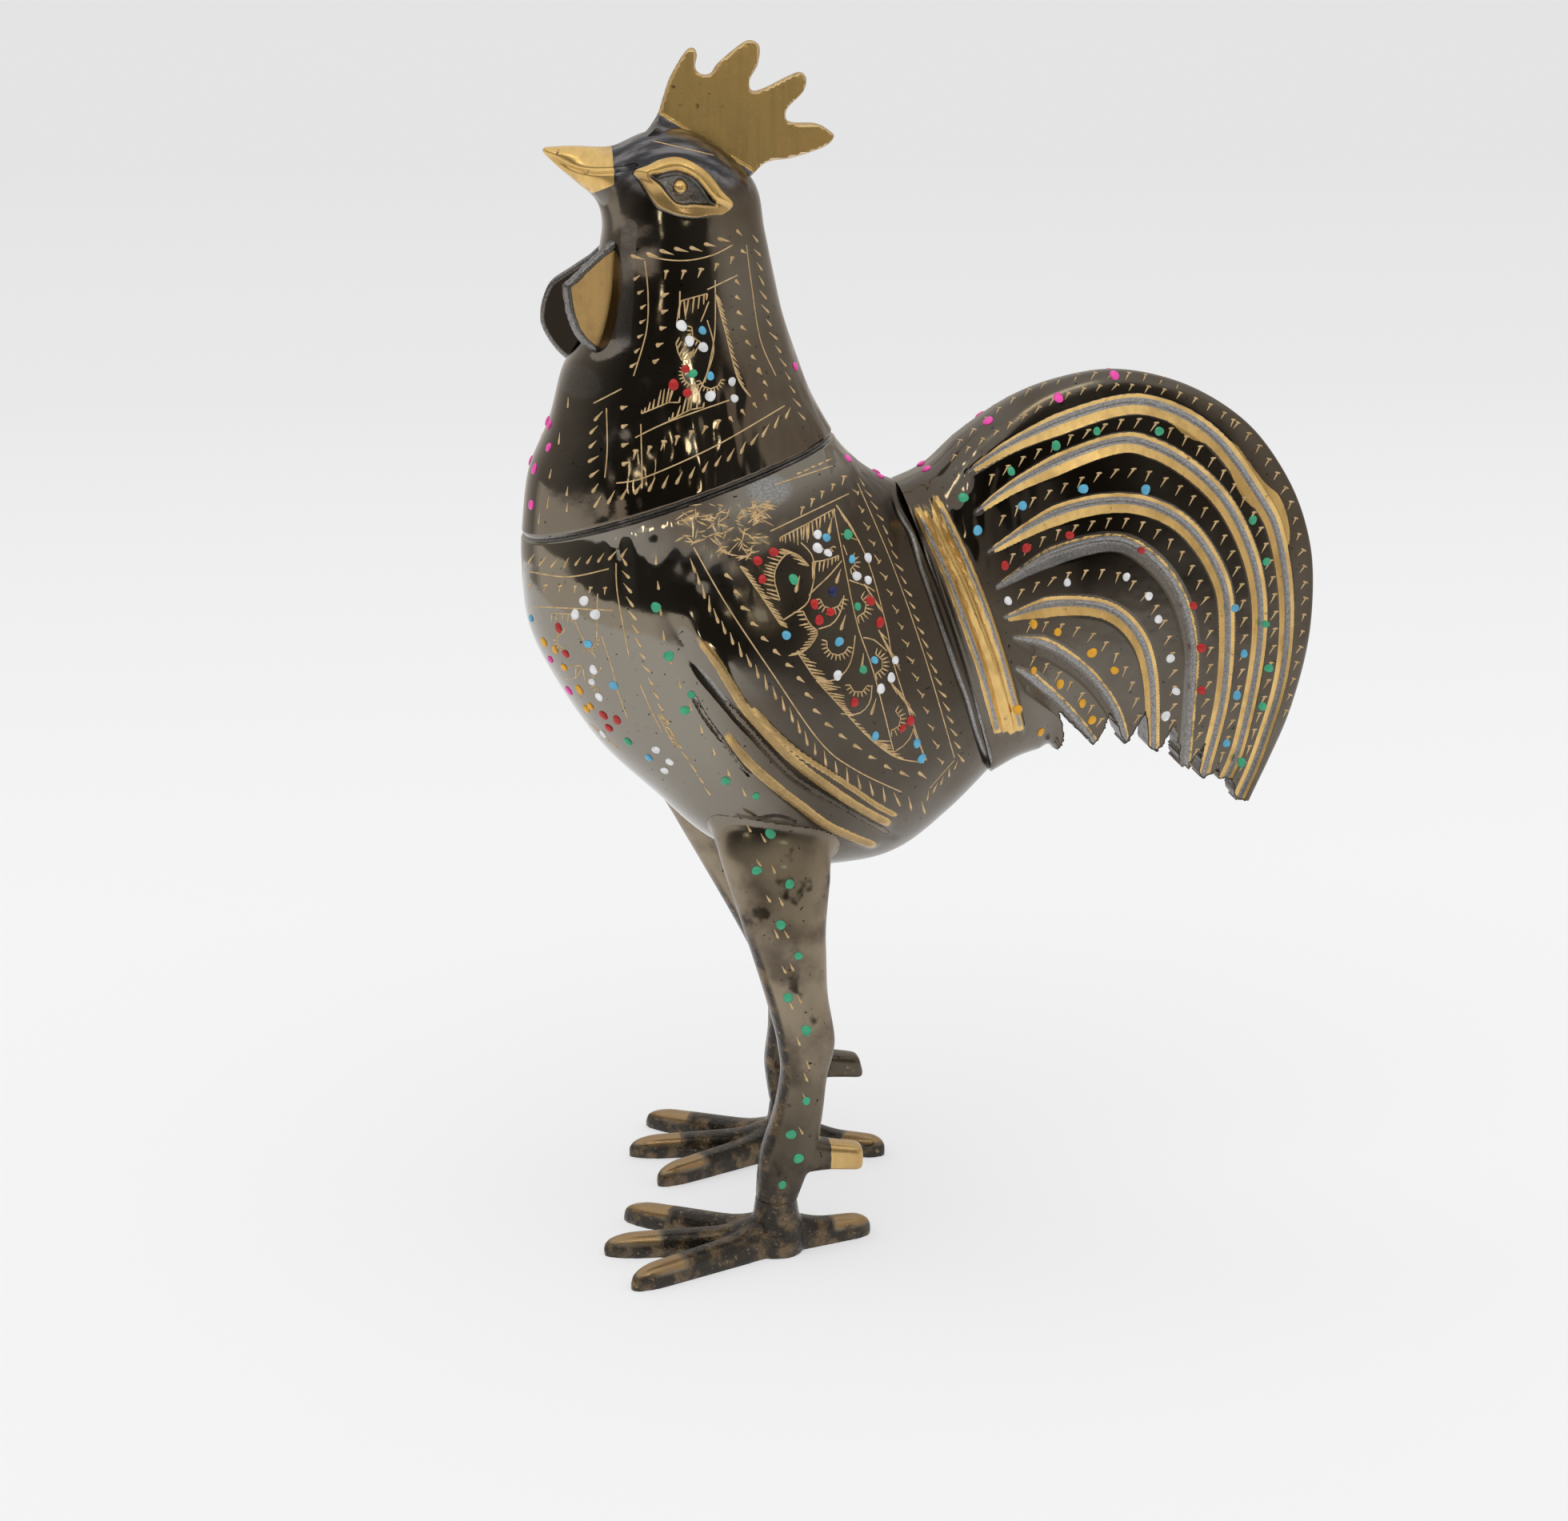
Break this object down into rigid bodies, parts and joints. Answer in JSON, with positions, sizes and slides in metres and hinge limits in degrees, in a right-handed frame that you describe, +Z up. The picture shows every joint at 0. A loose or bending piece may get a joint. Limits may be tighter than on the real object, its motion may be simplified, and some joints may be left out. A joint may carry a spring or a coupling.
{
  "type": "rooster figurine",
  "caption": "Standing rooster figurine of cast brass with dark lacquer, engraved vine pattern and enamel dots, a raised fan tail and a head that lifts off a collar.",
  "frame": {"origin": "on the standing surface under the middle of the bird's length and width", "axes": "+Z up, the bird faces -X, its left side is towards -Y"},
  "size_m": [0.153, 0.0845, 0.2252],
  "materials": {
    "dark_lacquer": "glossy translucent black-brown lacquer over brass, worn to brass on the ridges",
    "polished_brass": "filed and polished brass with a soft sheen",
    "plain_brass": "unpolished turned brass"
  },
  "bodies": {
    "body": {"body_shell": "dark_lacquer", "neck_collar": "plain_brass", "tail": "dark_lacquer", "left_leg": "dark_lacquer", "right_leg": "dark_lacquer", "left_foot": "dark_lacquer", "right_foot": "dark_lacquer", "left_leg_washer": "plain_brass", "right_leg_washer": "plain_brass", "left_leg_nut": "plain_brass", "right_leg_nut": "plain_brass"},
    "head": {"head_neck_shell": "dark_lacquer", "comb": "polished_brass", "left_wattle": "polished_brass", "right_wattle": "polished_brass"}
  },
  "joints": [
    {"name": "head_lift", "type": "slide", "parent": "body", "child": "head", "axis": [-0.2986, 0, 0.9544], "range_m": [0, 0.06]}
  ]
}
